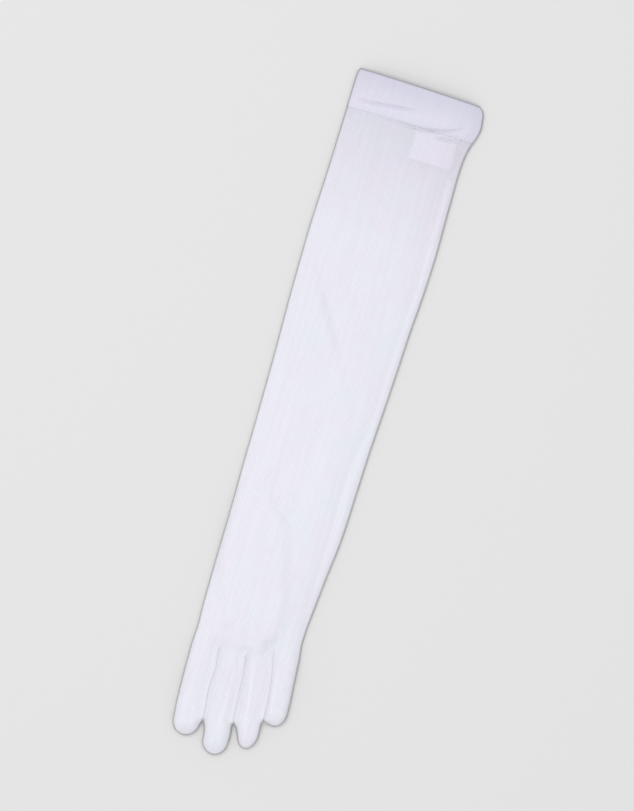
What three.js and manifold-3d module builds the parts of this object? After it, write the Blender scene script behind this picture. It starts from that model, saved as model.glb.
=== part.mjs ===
// A long tulle glove for the left hand, lying flat with the back of the hand up.
// Millimetres. +Y runs up the sleeve to its open top, +X to the little finger, +Z up.
// The origin is under the middle of the glove, on the surface that it lies on.
import * as THREE from "three";
import { mergeVertices } from "three/addons/utils/BufferGeometryUtils.js";
import Module from "manifold-3d";

const wasm = await Module();
wasm.setup();

// Cloth
const CLOTH = 1.0; // one layer of tulle
const HEM_CLOTH = 2.2; // two layers where the hem is turned in
const GAP = 0.3; // clearance between two pieces that are sewn together
const LINING_GAP = 0.6; // clearance between the curved back layer and what lies inside it
const FOLD_ROUND = 3.5; // width of the rounded underside beside a folded edge
const FOLD_HEIGHT = 0.36; // height of a folded edge, as a share of the glove's height there
const CROWN = 5; // how square the back layer's cross-section is, 2 being an ellipse
const FINGER_CROWN = 3.4;

// Lengths along the glove
const TOP = 280;
const HEM_EDGE = 248; // where the turned-in hem ends
const HAND_END = -197; // where the fingers part
const SLEEVE_STEP = 18; // greatest distances between two cross-sections
const HAND_STEP = 9;
const WEB_STEP = 4.5;
const HEM_STEP = 5.5;
const FINGER_STEP = 11;
const HAND_TOP = -50; // the hand's closer sections start here
const WEB_TOP = -184; // and the webs' here
const RIM_FALL = 2.4; // the top edge is this much lower at the little-finger side
const RIM_START = 262; // the fall begins here
const LITTLE_WEB = 10; // the web beside the little finger is this much higher

// Points of one cross-section
const BACK_POINTS = 15;
const PALM_POINTS = 9;
const FINGER_BACK_POINTS = 9;
const FINGER_PALM_POINTS = 3;
const ROUND_POINT = 0.7; // where the underside's rounding has its one point between

/** Turns a list of rows into objects with the given column names. */
const table = (columns, rows) =>
  rows.map((row) => Object.fromEntries(columns.map((name, i) => [name, row[i]])));

// The sleeve and the hand: both edges and the height, from the finger webs to the top edge.
const SLEEVE = table(["y", "left", "right", "height"], [
  [-197, -49.2, 37.0, 7.4],
  [-193, -49.4, 37.0, 9.0],
  [-184, -49.8, 36.0, 10.0],
  [-164, -50.3, 35.6, 10.6],
  [-145, -50.6, 37.0, 10.8],
  [-120, -50.8, 39.0, 10.8],
  [-87, -51.0, 41.9, 10.4],
  [-48, -51.6, 42.9, 9.7],
  [-19, -51.9, 43.4, 9.3],
  [29, -52.6, 45.3, 9.0],
  [58, -53.3, 46.3, 9.2],
  [87, -54.2, 47.2, 9.4],
  [116, -54.7, 48.7, 9.4],
  [150, -54.9, 49.5, 9.6],
  [193, -54.0, 48.7, 9.8],
  [231, -53.6, 48.7, 10.4],
  [241, -53.5, 50.1, 10.8],
  [258, -53.5, 54.9, 11.8],
  [266, -53.5, 54.5, 12.2],
  [277, -53.0, 52.0, 12.0],
  [280, -51.8, 49.0, 11.6],
]);

// The fingers' edges, from inside the palm to where each tip starts to round.
const FINGERS = [
  {
    tip: { x: -36.1, y: -271.8, round: 12 },
    rows: table(["y", "left", "right"], [
      [-262, -47.2, -24.9],
      [-251, -48.2, -24.4],
      [-231, -49.3, -26.5],
      [-212, -49.9, -26.2],
      [-196, -50.1, -28.2],
      [-182, -49.4, -29.5],
    ]),
  },
  {
    tip: { x: -9.2, y: -280.3, round: 12 },
    rows: table(["y", "left", "right"], [
      [-269, -20.9, 1.6],
      [-250, -23.2, -0.8],
      [-231, -25.4, -1.9],
      [-212, -25.2, -3.5],
      [-196, -26.8, -5.8],
      [-182, -25.8, -7.2],
    ]),
  },
  {
    tip: { x: 14.3, y: -268.5, round: 12 },
    rows: table(["y", "left", "right"], [
      [-258, 4.6, 24.6],
      [-251, 1.7, 24.0],
      [-243, 0.3, 22.9],
      [-231, -0.9, 21.4],
      [-212, -2.4, 19.6],
      [-196, -4.7, 16.4],
      [-180, -4.4, 13.4],
    ]),
  },
  {
    tip: { x: 31.2, y: -245, round: 9.5 },
    rows: table(["y", "left", "right"], [
      [-236, 23.1, 40.0],
      [-226, 22.6, 40.0],
      [-210, 20.7, 38.9],
      [-196, 17.8, 37.8],
      [-184, 16.0, 36.8],
      [-170, 17.4, 34.6],
    ]),
  },
];
const FINGER_HEIGHT = 10;
const FINGER_ROOT_HEIGHT = 9.0; // inside the palm, so that each finger rises out of it
const FINGER_RISE = 12;
const TIP_HEIGHT = 0.55; // a fingertip's height, as a share of the finger's

// The thumb, pressed flat under the palm: its edges from the tip to the root.
const THUMB = table(["y", "left", "right"], [
  [-182, -20.0, 3.0],
  [-170, -20.4, 2.6],
  [-158, -23.6, 2.0],
  [-145, -29.0, 0.0],
  [-130, -35.5, -4.0],
  [-115, -41.0, -8.0],
  [-100, -45.0, -12.0],
  [-88, -46.6, -16.0],
  [-75, -47.0, -22.0],
]);
const THUMB_TIP = { x: -8.6, y: -182, round: 12 };
const THUMB_ROOT = { x: -34.0, y: -75, round: 14 };
const THUMB_HEIGHT = 2.6;
const THUMB_EDGE = 1.2; // height of the thumb's folded edges
const THUMB_STEP = 13;
const THUMB_HOLE = { x: -31.5, y: -102, across: 11, along: 19, sides: 20 };
const REST_SHOULDER = 6; // the palm stays lifted this far beyond the thumb's edge
const REST_FALL = 18; // and comes down to the surface this far beyond it
const BACK_LIFT = 0.85; // share of the palm's lift that reaches the back

// Folds and dents of the back layer: straight stretches with a depth below zero or a height.
const FOLDS = table(["x1", "y1", "x2", "y2", "width", "rise"], [
  [-48, 254, -24, 256, 5, -1.0], // upper crease of the hem
  [-24, 256, 0, 258, 5, -1.0],
  [-20, 249, 9, 246, 5, -0.8], // lower crease of the hem
  [9, 246, 28, 250, 5, -1.0],
  [28, 250, 42, 256, 5, -1.0],
  [-30, 268, 20, 268, 8, 0.6], // fullness of the hem between its creases and its edge
  [46, 262, 46, 256, 7, 0.7], // bulge where the hem flares
  [40, 218, 35, 172, 6, -0.9], // dent below the label
  [-41, 96, -13, 66, 7, 0.9], // ridge of the soft diagonal fold of the sleeve
  [-13, 66, 6, 36, 7, 0.9],
  [-42, 124, -15, 83, 9, -0.8], // hollow beside that ridge
  [-15, 83, 6, 45, 8, -0.8],
  [-14, -40, -28, -72, 8, -0.6], // slack at the wrist
  [6, -20, 26, -58, 8, 0.5],
]);

// The seam allowance along the little-finger side, inside the back layer.
const SEAM = table(["y", "inner", "outer"], [
  [-152, 30.6, 33.4],
  [-100, 31.3, 37.6],
  [-45, 31.6, 38.6],
  [-20, 33.4, 39.6],
  [0, 36.4, 41.0],
  [60, 38.4, 42.8],
  [120, 40.6, 45.0],
  [216, 40.6, 45.0],
]);
const SEAM_THICKNESS = 0.9;
const SEAM_STEP = 20;

// The label inside the sleeve, sewn into the hem.
const LABEL = { left: 4, right: 41, low: 220.5, high: HEM_EDGE, thickness: 0.8, columns: 5, rows: 3 };

/** A smooth curve through a table: gives every other column at any y. */
function along(rows) {
  const sorted = [...rows].sort((a, b) => a.y - b.y);
  const names = Object.keys(sorted[0]).filter((name) => name !== "y");
  const places = sorted.map((row) => row.y);
  const values = sorted.flatMap((row) => names.map((name) => row[name]));
  const curve = new THREE.CubicInterpolant(places, values, names.length);
  return (y) => {
    const found = curve.evaluate(y);
    return Object.fromEntries(names.map((name, i) => [name, found[i]]));
  };
}

/** Places from one end to the other, no further apart than the step. */
function spaced(from, to, step) {
  const count = Math.ceil(Math.abs(to - from) / step - 1e-6);
  return [...Array(count + 1).keys()].map((i) => from + ((to - from) * i) / count);
}

const sleeveAt = along(SLEEVE);
const thumbRows = along(THUMB);
const seamAt = along(SEAM);

/** How wide a rounded end still is at a distance from its tip, as a share. */
function endShare(distance, round) {
  const t = Math.min(Math.max(distance / round, 0), 1);
  return Math.sqrt(1 - (1 - t) ** 2);
}

/** The edges of a tapering piece, drawn in towards a rounded tip. */
function roundedEdges(edges, tip, y) {
  const share = endShare(Math.abs(y - tip.y), tip.round);
  return {
    left: tip.x + (edges.left - tip.x) * share,
    right: tip.x + (edges.right - tip.x) * share,
  };
}

function thumbEdges(y) {
  const end = y < (THUMB_TIP.y + THUMB_ROOT.y) / 2 ? THUMB_TIP : THUMB_ROOT;
  return roundedEdges(thumbRows(y), end, y);
}

/** How far a point of the plan lies outside the thumb. */
function beyondThumb(x, y) {
  const near = THREE.MathUtils.clamp(y, THUMB_TIP.y + 1, THUMB_ROOT.y - 1);
  const { left, right } = thumbEdges(near);
  return Math.hypot(Math.max(left - x, x - right, 0), y - near);
}

/** How far the thumb lifts the palm above the surface. */
function palmLift(x, y) {
  const fall = THREE.MathUtils.smoothstep(beyondThumb(x, y), REST_SHOULDER, REST_FALL);
  return (THUMB_HEIGHT + GAP) * (1 - fall);
}

/** The height that the folds and dents give the back layer. */
function foldRise(x, y) {
  let rise = 0;
  for (const f of FOLDS) {
    const run = new THREE.Vector2(f.x2 - f.x1, f.y2 - f.y1);
    const from = new THREE.Vector2(x - f.x1, y - f.y1);
    const share = THREE.MathUtils.clamp(from.dot(run) / run.lengthSq(), 0, 1);
    const away = from.sub(run.multiplyScalar(share)).length();
    rise += f.rise * Math.exp(-((away / f.width) ** 2));
  }
  return rise;
}

/** Height of the back layer at a share of the half width, the crowned upper side. */
function backHeight(share, height, edge, crown) {
  return edge + (height - edge) * Math.sqrt(Math.max(1 - Math.abs(share) ** crown, 0));
}

/** Moves a point of a plain cross-section to where the cloth lies. */
function drape(x, y, z, share, isBack) {
  const { smoothstep, inverseLerp } = THREE.MathUtils;
  const web = LITTLE_WEB * smoothstep(x, 8, 22) * smoothstep(-y, 150, 194);
  const across = inverseLerp(SLEEVE.at(-1).left, SLEEVE.at(-1).right, x);
  const rim = RIM_FALL * across * smoothstep(y, RIM_START, TOP);
  const lift = palmLift(x, y) * (isBack ? BACK_LIFT : 1);
  const fold = isBack ? foldRise(x, y) * (1 - share ** 6) : 0;
  return new THREE.Vector3(x, y + web - rim, z + lift + fold);
}

/** A finger follows the palm's lift at its root, and has no web of its own. */
function fingerDrape(x, y, z, share, isBack) {
  return new THREE.Vector3(x, y, z + palmLift(x, y) * (isBack ? BACK_LIFT : 1));
}

const sleeveShape = { back: BACK_POINTS, palm: PALM_POINTS, crown: CROWN, drape };
const fingerShape = {
  back: FINGER_BACK_POINTS,
  palm: FINGER_PALM_POINTS,
  crown: FINGER_CROWN,
  drape: fingerDrape,
};

/**
 * One cross-section: the back layer from the right edge to the left, then the palm layer back again.
 * inset draws it in by a cloth's thickness, for the hollow.
 */
function crossSection(y, { left, right, height }, inset, shape) {
  const middle = (left + right) / 2;
  const half = (right - left) / 2 - inset;
  const edge = height * FOLD_HEIGHT;
  const flat = 1 - Math.min(FOLD_ROUND / half, 0.6);
  const points = [];
  for (let i = 0; i < shape.back; i++) {
    const share = Math.cos((Math.PI * i) / (shape.back - 1));
    const z = backHeight(share, height - inset, edge, shape.crown);
    points.push(shape.drape(middle + half * share, y, z, share, true));
  }
  const round = flat + (1 - flat) * ROUND_POINT;
  for (const share of [-round, ...spaced(-flat, flat, (2 * flat) / (shape.palm - 1)), round]) {
    const t = Math.max((Math.abs(share) - flat) / (1 - flat), 0);
    const z = inset + (edge - inset) * (1 - Math.sqrt(1 - t * t));
    points.push(shape.drape(middle + half * share, y, z, share, false));
  }
  return points;
}

/** A closed surface through rings of points, with both ends capped from their middle. */
function loft(rings) {
  const count = rings[0].length;
  const ends = [rings[0], rings.at(-1)].map((ring) => {
    const middle = new THREE.Vector3();
    ring.forEach((point) => middle.add(point));
    return middle.divideScalar(count);
  });
  const points = [...rings.flat(), ...ends];
  const faces = [];
  for (let r = 0; r < rings.length - 1; r++) {
    for (let i = 0; i < count; i++) {
      const a = r * count + i;
      const b = r * count + ((i + 1) % count);
      faces.push(a, a + count, b, b, a + count, b + count);
    }
  }
  const last = (rings.length - 1) * count;
  for (let i = 0; i < count; i++) {
    const next = (i + 1) % count;
    faces.push(points.length - 2, i, next);
    faces.push(points.length - 1, last + next, last + i);
  }
  const geometry = new THREE.BufferGeometry().setFromPoints(points);
  geometry.setIndex(faces);
  return geometry;
}

/** Six times the enclosed volume, below zero when the faces point inwards. */
function signedVolume(points, faces) {
  let sum = 0;
  const corner = (i) => new THREE.Vector3().fromArray(points, 3 * faces[i]);
  for (let i = 0; i < faces.length; i += 3) {
    sum += corner(i).dot(corner(i + 1).cross(corner(i + 2)));
  }
  return sum;
}

/** A three.js geometry as a solid that can be joined and cut. */
function solid(geometry) {
  const vertProperties = new Float32Array(geometry.attributes.position.array);
  const triVerts = new Uint32Array(geometry.index.array);
  if (signedVolume(vertProperties, triVerts) < 0) triVerts.reverse();
  return new wasm.Manifold(new wasm.Mesh({ numProp: 3, vertProperties, triVerts }));
}

/** A named mesh made from a solid. */
function piece(name, shape, look) {
  const found = shape.getMesh();
  const geometry = new THREE.BufferGeometry();
  geometry.setAttribute("position", new THREE.BufferAttribute(found.vertProperties.slice(), 3));
  geometry.setIndex(new THREE.BufferAttribute(found.triVerts.slice(), 1));
  geometry.computeVertexNormals();
  const mesh = new THREE.Mesh(geometry, new THREE.MeshStandardMaterial(look));
  mesh.name = name;
  return mesh;
}

function sleeveLoft(places, inset) {
  return solid(loft(places.map((y) => crossSection(y, sleeveAt(y), inset, sleeveShape))));
}

/** One finger, closed at its rounded tip and open towards the palm. */
function fingerLoft({ tip, rows }, inset) {
  const root = Math.max(...rows.map((row) => row.y));
  const edgesAt = along(rows);
  const end = tip.y + inset;
  const rounded = [0.03, 0.14, 0.32, 0.6].map((t) => end + tip.round * t);
  const places = [...rounded, ...spaced(end + tip.round, root, FINGER_STEP)];
  return solid(loft(places.map((y) => {
    const edges = edgesAt(Math.max(y, rows[0].y));
    const { left, right } = roundedEdges(edges, { ...tip, y: end }, y);
    const rise = THREE.MathUtils.smoothstep(root - y, 0, FINGER_RISE);
    const full = THREE.MathUtils.lerp(FINGER_ROOT_HEIGHT, FINGER_HEIGHT, rise);
    const height = full * THREE.MathUtils.lerp(TIP_HEIGHT, 1, endShare(y - end, tip.round));
    return crossSection(y, { left, right, height }, Math.min(inset, (right - left) / 3), fingerShape);
  })));
}

/** Places of the sleeve's and hand's cross-sections, closest where the fingers part. */
const handPlaces = (from, to) => [
  ...spaced(from, WEB_TOP, WEB_STEP).slice(0, -1),
  ...spaced(WEB_TOP, HAND_TOP, HAND_STEP).slice(0, -1),
  ...spaced(HAND_TOP, to, SLEEVE_STEP),
];

/** The thumb hole's column, cut through the palm layer and the thumb's upper layer. */
function thumbHole(low, high) {
  const outline = new THREE.Shape();
  const { x, y, across, along: half, sides } = THUMB_HOLE;
  outline.absellipse(x, y, across, half, 0, 2 * Math.PI);
  const column = new THREE.ExtrudeGeometry(outline, {
    depth: high - low,
    bevelEnabled: false,
    curveSegments: sides,
  });
  column.deleteAttribute("normal");
  column.deleteAttribute("uv");
  return solid(mergeVertices(column.translate(0, 0, low)));
}

function sleeveAndHand() {
  let outside = sleeveLoft(handPlaces(HAND_END, HEM_EDGE), 0);
  let hollow = sleeveLoft(handPlaces(HAND_END + 2, HEM_EDGE + 4), CLOTH);
  for (const finger of FINGERS) {
    outside = outside.add(fingerLoft(finger, 0));
    hollow = hollow.add(fingerLoft(finger, CLOTH));
  }
  const insidePalm = THUMB_HEIGHT + GAP + 3 * CLOTH;
  return outside.subtract(hollow).subtract(thumbHole(THUMB_HEIGHT / 2, insidePalm));
}

/** One surface of the thumb, drawn in by a cloth's thickness for its hollow. */
function thumbLoft(inset) {
  const low = THUMB_TIP.y + inset;
  const high = THUMB_ROOT.y - inset;
  const ends = [0.03, 0.2, 0.55].map((t) => THUMB_TIP.round * t);
  const places = [
    ...ends.map((t) => low + t),
    ...spaced(low + THUMB_TIP.round, high - THUMB_ROOT.round, THUMB_STEP),
    ...ends.reverse().map((t) => high - t),
  ];
  return solid(loft(places.map((y) => {
    const edges = thumbEdges(y);
    return pressedSection(y, edges, Math.min(inset, (edges.right - edges.left) / 3));
  })));
}

/** A cross-section of the pressed thumb, with its own low folded edges. */
function pressedSection(y, { left, right }, inset) {
  const middle = (left + right) / 2;
  const half = (right - left) / 2 - inset;
  const upper = spaced(0, Math.PI, Math.PI / 8).map((turn) => {
    const share = Math.cos(turn);
    const z = backHeight(share, THUMB_HEIGHT - inset, THUMB_EDGE, CROWN);
    return new THREE.Vector3(middle + half * share, y, z);
  });
  const lower = [-0.93, -0.6, 0, 0.6, 0.93].map((share) => {
    const rise = Math.abs(share) > 0.9 ? (THUMB_EDGE - inset) * 0.3 : 0;
    return new THREE.Vector3(middle + half * share, y, inset + rise);
  });
  return [...upper, ...lower];
}

function thumb() {
  return thumbLoft(0).subtract(thumbLoft(CLOTH)).subtract(thumbHole(THUMB_HEIGHT / 2, THUMB_HEIGHT + 1));
}

function topHem() {
  const outside = sleeveLoft(spaced(HEM_EDGE + GAP, TOP, HEM_STEP), 0);
  const hollow = sleeveLoft(spaced(HEM_EDGE - 4, TOP, HEM_STEP).concat(TOP + 4), HEM_CLOTH);
  return outside.subtract(hollow);
}

/** A thin sheet that lies inside the back layer, given by a grid of points in plan. */
function sheetInside(grid, thickness) {
  const rings = grid.map((row) => {
    const upper = row.map(([x, y]) => new THREE.Vector3(x, y, insideBack(x, y) - LINING_GAP));
    const lower = upper.map((p) => new THREE.Vector3(p.x, p.y, p.z - thickness)).reverse();
    return [...upper, ...lower];
  });
  return solid(loft(rings));
}

/** Height of the back layer's inner side. */
function insideBack(x, y) {
  const { left, right, height } = sleeveAt(y);
  const half = (right - left) / 2 - CLOTH;
  const share = (x - (left + right) / 2) / half;
  return drape(x, y, backHeight(share, height - CLOTH, height * FOLD_HEIGHT, CROWN), share, true).z;
}

function careLabel() {
  const { left, right, low, high } = LABEL;
  const ys = spaced(low, high, (high - low) / LABEL.rows);
  const xs = spaced(left, right, (right - left) / LABEL.columns);
  return sheetInside(ys.map((y) => xs.map((x) => [x, y])), LABEL.thickness);
}

function sideSeam() {
  const ys = spaced(SEAM[0].y, SEAM.at(-1).y, SEAM_STEP);
  return sheetInside(ys.map((y) => {
    const { inner, outer } = seamAt(y);
    return [[inner, y], [(inner + outer) / 2, y], [outer, y]];
  }), SEAM_THICKNESS);
}

const tulle = { color: 0xe9eaf4, roughness: 0.85, metalness: 0 };
const doubledTulle = { color: 0xdedfee, roughness: 0.85, metalness: 0 };
const labelTape = { color: 0xf4f4f8, roughness: 0.6, metalness: 0 };

const glove = new THREE.Group();
glove.add(piece("sleeve_and_hand", sleeveAndHand(), tulle));
glove.add(piece("thumb", thumb(), tulle));
glove.add(piece("top_hem", topHem(), doubledTulle));
glove.add(piece("side_seam", sideSeam(), doubledTulle));
glove.add(piece("care_label", careLabel(), labelTape));

export default glove;
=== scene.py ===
"""A long tulle glove for the left hand, laid flat with its thumb folded under the palm.

The tables are in millimetres, in the frame of the solids: +Y up the sleeve, +X to the little finger.
"""
import math

import bmesh
import bpy
import numpy as np
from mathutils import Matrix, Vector, noise
from mathutils.geometry import delaunay_2d_cdt


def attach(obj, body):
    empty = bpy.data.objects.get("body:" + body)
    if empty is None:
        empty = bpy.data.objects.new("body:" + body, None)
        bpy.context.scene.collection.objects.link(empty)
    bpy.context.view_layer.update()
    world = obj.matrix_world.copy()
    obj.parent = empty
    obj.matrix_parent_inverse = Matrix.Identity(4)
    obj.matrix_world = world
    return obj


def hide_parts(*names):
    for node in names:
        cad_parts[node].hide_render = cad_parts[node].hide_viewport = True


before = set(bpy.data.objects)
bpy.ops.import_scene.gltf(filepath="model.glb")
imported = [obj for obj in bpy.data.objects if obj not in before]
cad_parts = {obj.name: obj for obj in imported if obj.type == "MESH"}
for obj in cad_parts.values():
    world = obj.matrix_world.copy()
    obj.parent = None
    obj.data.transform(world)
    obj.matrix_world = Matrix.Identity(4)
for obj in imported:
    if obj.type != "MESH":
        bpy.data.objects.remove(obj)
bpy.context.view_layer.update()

MM = 0.001
ROW_SPACING = 0.87  # between the rows of a staggered pattern, as a share of its step

# The glove's plan

TOP = 280.0  # the rim
HEM_EDGE = 248.0  # the hem's sewn lower edge
HAND_END = -197.0  # where the fingers part
LITTLE_WEB = 10.0  # the web beside the little finger is this much higher
RIM_FALL = 2.4  # the rim is this much lower at the little-finger side
RIM_START = 262.0  # y above which it slopes and lies lower

# y, left edge, right edge, height
SLEEVE = [
    (-197, -49.2, 37.0, 7.4),
    (-193, -49.4, 37.0, 9.0),
    (-184, -49.8, 36.0, 10.0),
    (-164, -50.3, 35.6, 10.6),
    (-145, -50.6, 37.0, 10.8),
    (-120, -50.8, 39.0, 10.8),
    (-87, -51.0, 41.9, 10.4),
    (-48, -51.6, 42.9, 9.7),
    (-19, -51.9, 43.4, 9.3),
    (29, -52.6, 45.3, 9.0),
    (58, -53.3, 46.3, 9.2),
    (87, -54.2, 47.2, 9.4),
    (116, -54.7, 48.7, 9.4),
    (150, -54.9, 49.5, 9.6),
    (193, -54.0, 48.7, 9.8),
    (231, -53.6, 48.7, 10.4),
    (241, -53.5, 50.1, 10.8),
    (258, -53.5, 54.9, 11.8),
    (266, -53.5, 54.5, 12.2),
    (277, -53.0, 52.0, 12.0),
    (280, -51.8, 49.0, 11.6),
]

# Each finger: its tip's x, y and the roundings of its left and right side, then y, left edge,
# right edge. The tips follow the photograph and lie a little inside the solids.
FINGERS = {
    "index": ((-36.1, -271.8, 12, 12), [
        (-262, -47.2, -24.5),
        (-251, -48.2, -24.4),
        (-231, -49.3, -26.5),
        (-212, -49.9, -26.2),
        (-196, -50.1, -28.2),
        (-182, -49.4, -29.5),
    ]),
    "middle": ((-9.2, -280.3, 12, 12), [
        (-269, -20.0, 1.5),
        (-258, -22.0, 1.2),
        (-250, -23.2, -0.7),
        (-231, -25.4, -1.9),
        (-212, -25.2, -3.5),
        (-196, -26.8, -5.8),
        (-182, -25.8, -7.2),
    ]),
    "ring": ((14.3, -268.5, 12, 12), [
        (-262, 5.9, 22.8),
        (-258, 4.9, 23.1),
        (-251, 1.7, 23.0),
        (-243, 0.3, 22.3),
        (-231, -0.9, 21.4),
        (-212, -2.4, 19.6),
        (-196, -4.7, 16.4),
        (-180, -4.4, 13.4),
    ]),
    "little": ((31.0, -245, 5, 12), [
        (-236, 22.9, 40.4),
        (-226, 22.6, 40.2),
        (-210, 20.7, 38.9),
        (-196, 17.8, 37.8),
        (-184, 16.0, 36.8),
        (-170, 17.4, 34.6),
    ]),
}
FINGER_HEIGHT = 10.0
FINGER_GAP = 0.06  # between neighbouring fingers where they lie close
FINGERS_PART = (2.0, 3.0)  # they part where the tables' gap grows from the first to the second

# The pressed thumb: y, left edge, right edge
THUMB = [
    (-182, -20.0, 3.0),
    (-170, -20.4, 2.6),
    (-158, -23.6, 2.0),
    (-145, -29.0, 0.0),
    (-130, -35.5, -4.0),
    (-115, -41.0, -8.0),
    (-100, -45.0, -12.0),
    (-88, -46.6, -16.0),
    (-75, -47.0, -22.0),
]
# Its rounded ends: x, y and rounding
THUMB_TIP = (-8.6, -182.0, 12.0)
THUMB_ROOT = (-34.0, -75.0, 14.0)
THUMB_HEIGHT = 2.6
THUMB_LIFT = 2.9  # the palm above the thumb
REST_SHOULDER, REST_FALL = 6.0, 18.0  # beside the thumb the palm falls from the first to the second

# The seam allowance at the little-finger side: y, inner edge, outer edge
SIDE_SEAM = [
    (-152, 30.6, 33.4),
    (-100, 31.3, 37.6),
    (-45, 31.6, 38.6),
    (-20, 33.4, 39.6),
    (0, 36.4, 41.0),
    (60, 38.4, 42.8),
    (120, 40.6, 45.0),
    (216, 40.6, 45.0),
]
LABEL = (4.0, 41.0, 220.5, 248.0)  # left, right, low, high

# Seam allowances inside the middle, ring and little fingers: x and y of points along each
FINGER_SEAMS = [
    [(-11.4, -207), (-10.6, -216), (-10.4, -240), (-9.6, -262)],
    [(2.6, -200), (5.0, -216), (8.8, -240), (11.6, -256)],
    [(21.6, -198), (23.4, -208), (25.4, -226), (28.0, -237)],
]

# Folds and dents of the back: the width of each, then x, y and height along it
FOLDS = [
    (1.1, [(-52, 255, 0), (-47, 255.1, -1.6), (-33, 255.4, -2.1), (-11, 257.6, -2), (2, 258.6, -0.7),
           (9, 259, 0)]),
    (1.3, [(-24, 247, 0), (-10, 246.4, -0.8), (3, 246.2, -1.6), (14, 246.6, -2.3), (26, 249.2, -2.4),
           (37, 253, -1.6), (45, 257.5, 0)]),
    (1.1, [(19, 243.8, 0), (25, 243.3, -1.8), (34, 243.8, -2.3), (42, 246, -1.5), (47, 249.5, 0)]),
    (6.0, [(-48, 262, 0.2), (-30, 264, 0.6), (-8, 265, 0.4)]),
    (4.0, [(4, 252.6, 0.3), (20, 252.6, 0.8), (34, 257, 0.4)]),
    (4.0, [(46, 267, 0.3), (47.5, 257, 1.0), (44, 248, 0.4)]),
    (3.0, [(-52, 274, -0.8), (-47, 279, -1.6)]),
    (6.0, [(41, 220, -0.3), (38, 200, -1.0), (35, 172, -0.4)]),
    (7.0, [(-42, 98, 0.3), (-13, 66, 1.8), (8, 33, 0.5)]),
    (6.0, [(-44, 128, -0.5), (-24, 97, -2.2), (-4, 62, -2.0), (8, 40, -0.4)]),
    (7.0, [(-12, -34, -0.3), (-21, -56, -1.3), (-30, -78, -0.4)]),
    (8.0, [(4, -16, 0.1), (16, -39, 0.6), (28, -62, 0.1)]),
]

# Puckers at the finger roots: the webs' x and y, then turn in degrees, length and height at each web
WEBS = ((-27.5, -197), (-5.3, -197), (16.9, -187))
PUCKERS = ((-38, 9, 0.35), (-14, 13, -0.4), (10, 15, 0.45), (34, 10, -0.35))
PUCKER_WIDTH = 1.6
PUCKER_START = 2.0  # distance from the web


def along(rows, y):
    """A table's other columns at the places y, on the same smooth curve as the solids have."""
    rows = np.array(sorted(rows), float)
    places, values = rows[:, 0], rows[:, 1:]
    y = np.asarray(y, float)
    last = len(places) - 1
    at = np.clip(np.searchsorted(places, y, side="right") - 1, 0, last - 1)
    step = places[at + 1] - places[at]
    before = np.where(at > 0, places[at] - places[at - 1], step)
    after = np.where(at + 2 <= last, places[np.minimum(at + 2, last)] - places[at + 1], step)
    low = values[np.where(at > 0, at - 1, at + 1)]
    high = values[np.where(at + 2 <= last, np.minimum(at + 2, last), at)]
    p = np.clip((y - places[at]) / step, 0, 1)
    wp, wn = step / 2 / before, step / 2 / after
    pp, ppp = p * p, p * p * p
    s_low = -wp * ppp + 2 * wp * pp - wp * p
    s_a = (1 + wp) * ppp + (-1.5 - 2 * wp) * pp + (-0.5 + wp) * p + 1
    s_b = (-1 - wn) * ppp + (1.5 + wn) * pp + 0.5 * p
    s_high = wn * ppp - wn * pp
    mix = lambda share, value: share[..., None] * value
    found = mix(s_low, low) + mix(s_a, values[at]) + mix(s_b, values[at + 1]) + mix(s_high, high)
    return np.moveaxis(found, -1, 0)


def smoothstep(x, low, high):
    t = np.clip((x - low) / (high - low), 0, 1)
    return t * t * (3 - 2 * t)


def evenly(points, step):
    """The same polyline with its points a step apart."""
    points = np.asarray(points, float)
    run = np.concatenate([[0], np.cumsum(np.linalg.norm(np.diff(points, axis=0), axis=1))])
    places = np.linspace(0, run[-1], max(int(round(run[-1] / step)), 1) + 1)
    return np.stack([np.interp(places, run, points[:, i]) for i in range(points.shape[1])], -1)


# The outline in plan

STRAIGHT_POINTS = 60  # along one edge of a finger
TURN_POINTS = 24  # round half a fingertip
SIDE_POINTS = 260  # along one edge of the sleeve
HAND_MEETS_FINGERS = (168, 190)  # the hand's edge runs over into the finger's between these, as -y
OUTER_FINGER_REACH = (-240, -170)  # the part of the outer fingers that it runs over into
POINTS_AT_ONCE = 1500  # distances are worked out for so many points at a time, to save memory


def finger_edges(name, y):
    """Left and right edge of a finger at the places y, closed up to its neighbours."""
    names = list(FINGERS)
    i = names.index(name)
    edges = {n: along(FINGERS[n][1], np.maximum(y, FINGERS[n][1][0][0])) for n in names}
    left, right = edges[name]
    if i > 0:
        left = left - closing(left - edges[names[i - 1]][1])
    if i < len(names) - 1:
        right = right + closing(edges[names[i + 1]][0] - right)
    return left, right


def closing(gap):
    """How far each of two neighbouring edges moves to close the gap that the tables leave."""
    return np.maximum(gap - FINGER_GAP, 0) / 2 * (1 - smoothstep(gap, *FINGERS_PART))


def finger_side(name, side):
    """One edge of a finger from its root to the middle of its rounded tip."""
    tip_x, tip_y, *roundings = FINGERS[name][0]
    rounding = roundings[side]
    root = HAND_END + (LITTLE_WEB if name == "little" and side == 0 else 0)
    root = root + (LITTLE_WEB if name == "ring" and side == 1 else 0)
    straight = np.linspace(root, tip_y + rounding, STRAIGHT_POINTS)
    turn = np.linspace(math.pi / 2, 0, TURN_POINTS)[1:]
    y = np.concatenate([straight, tip_y + rounding * (1 - np.cos(turn))])
    share = np.concatenate([np.ones(STRAIGHT_POINTS), np.sin(turn)])
    x = tip_x + (finger_edges(name, y)[side] - tip_x) * share
    return np.stack([x, y], -1)


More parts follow.
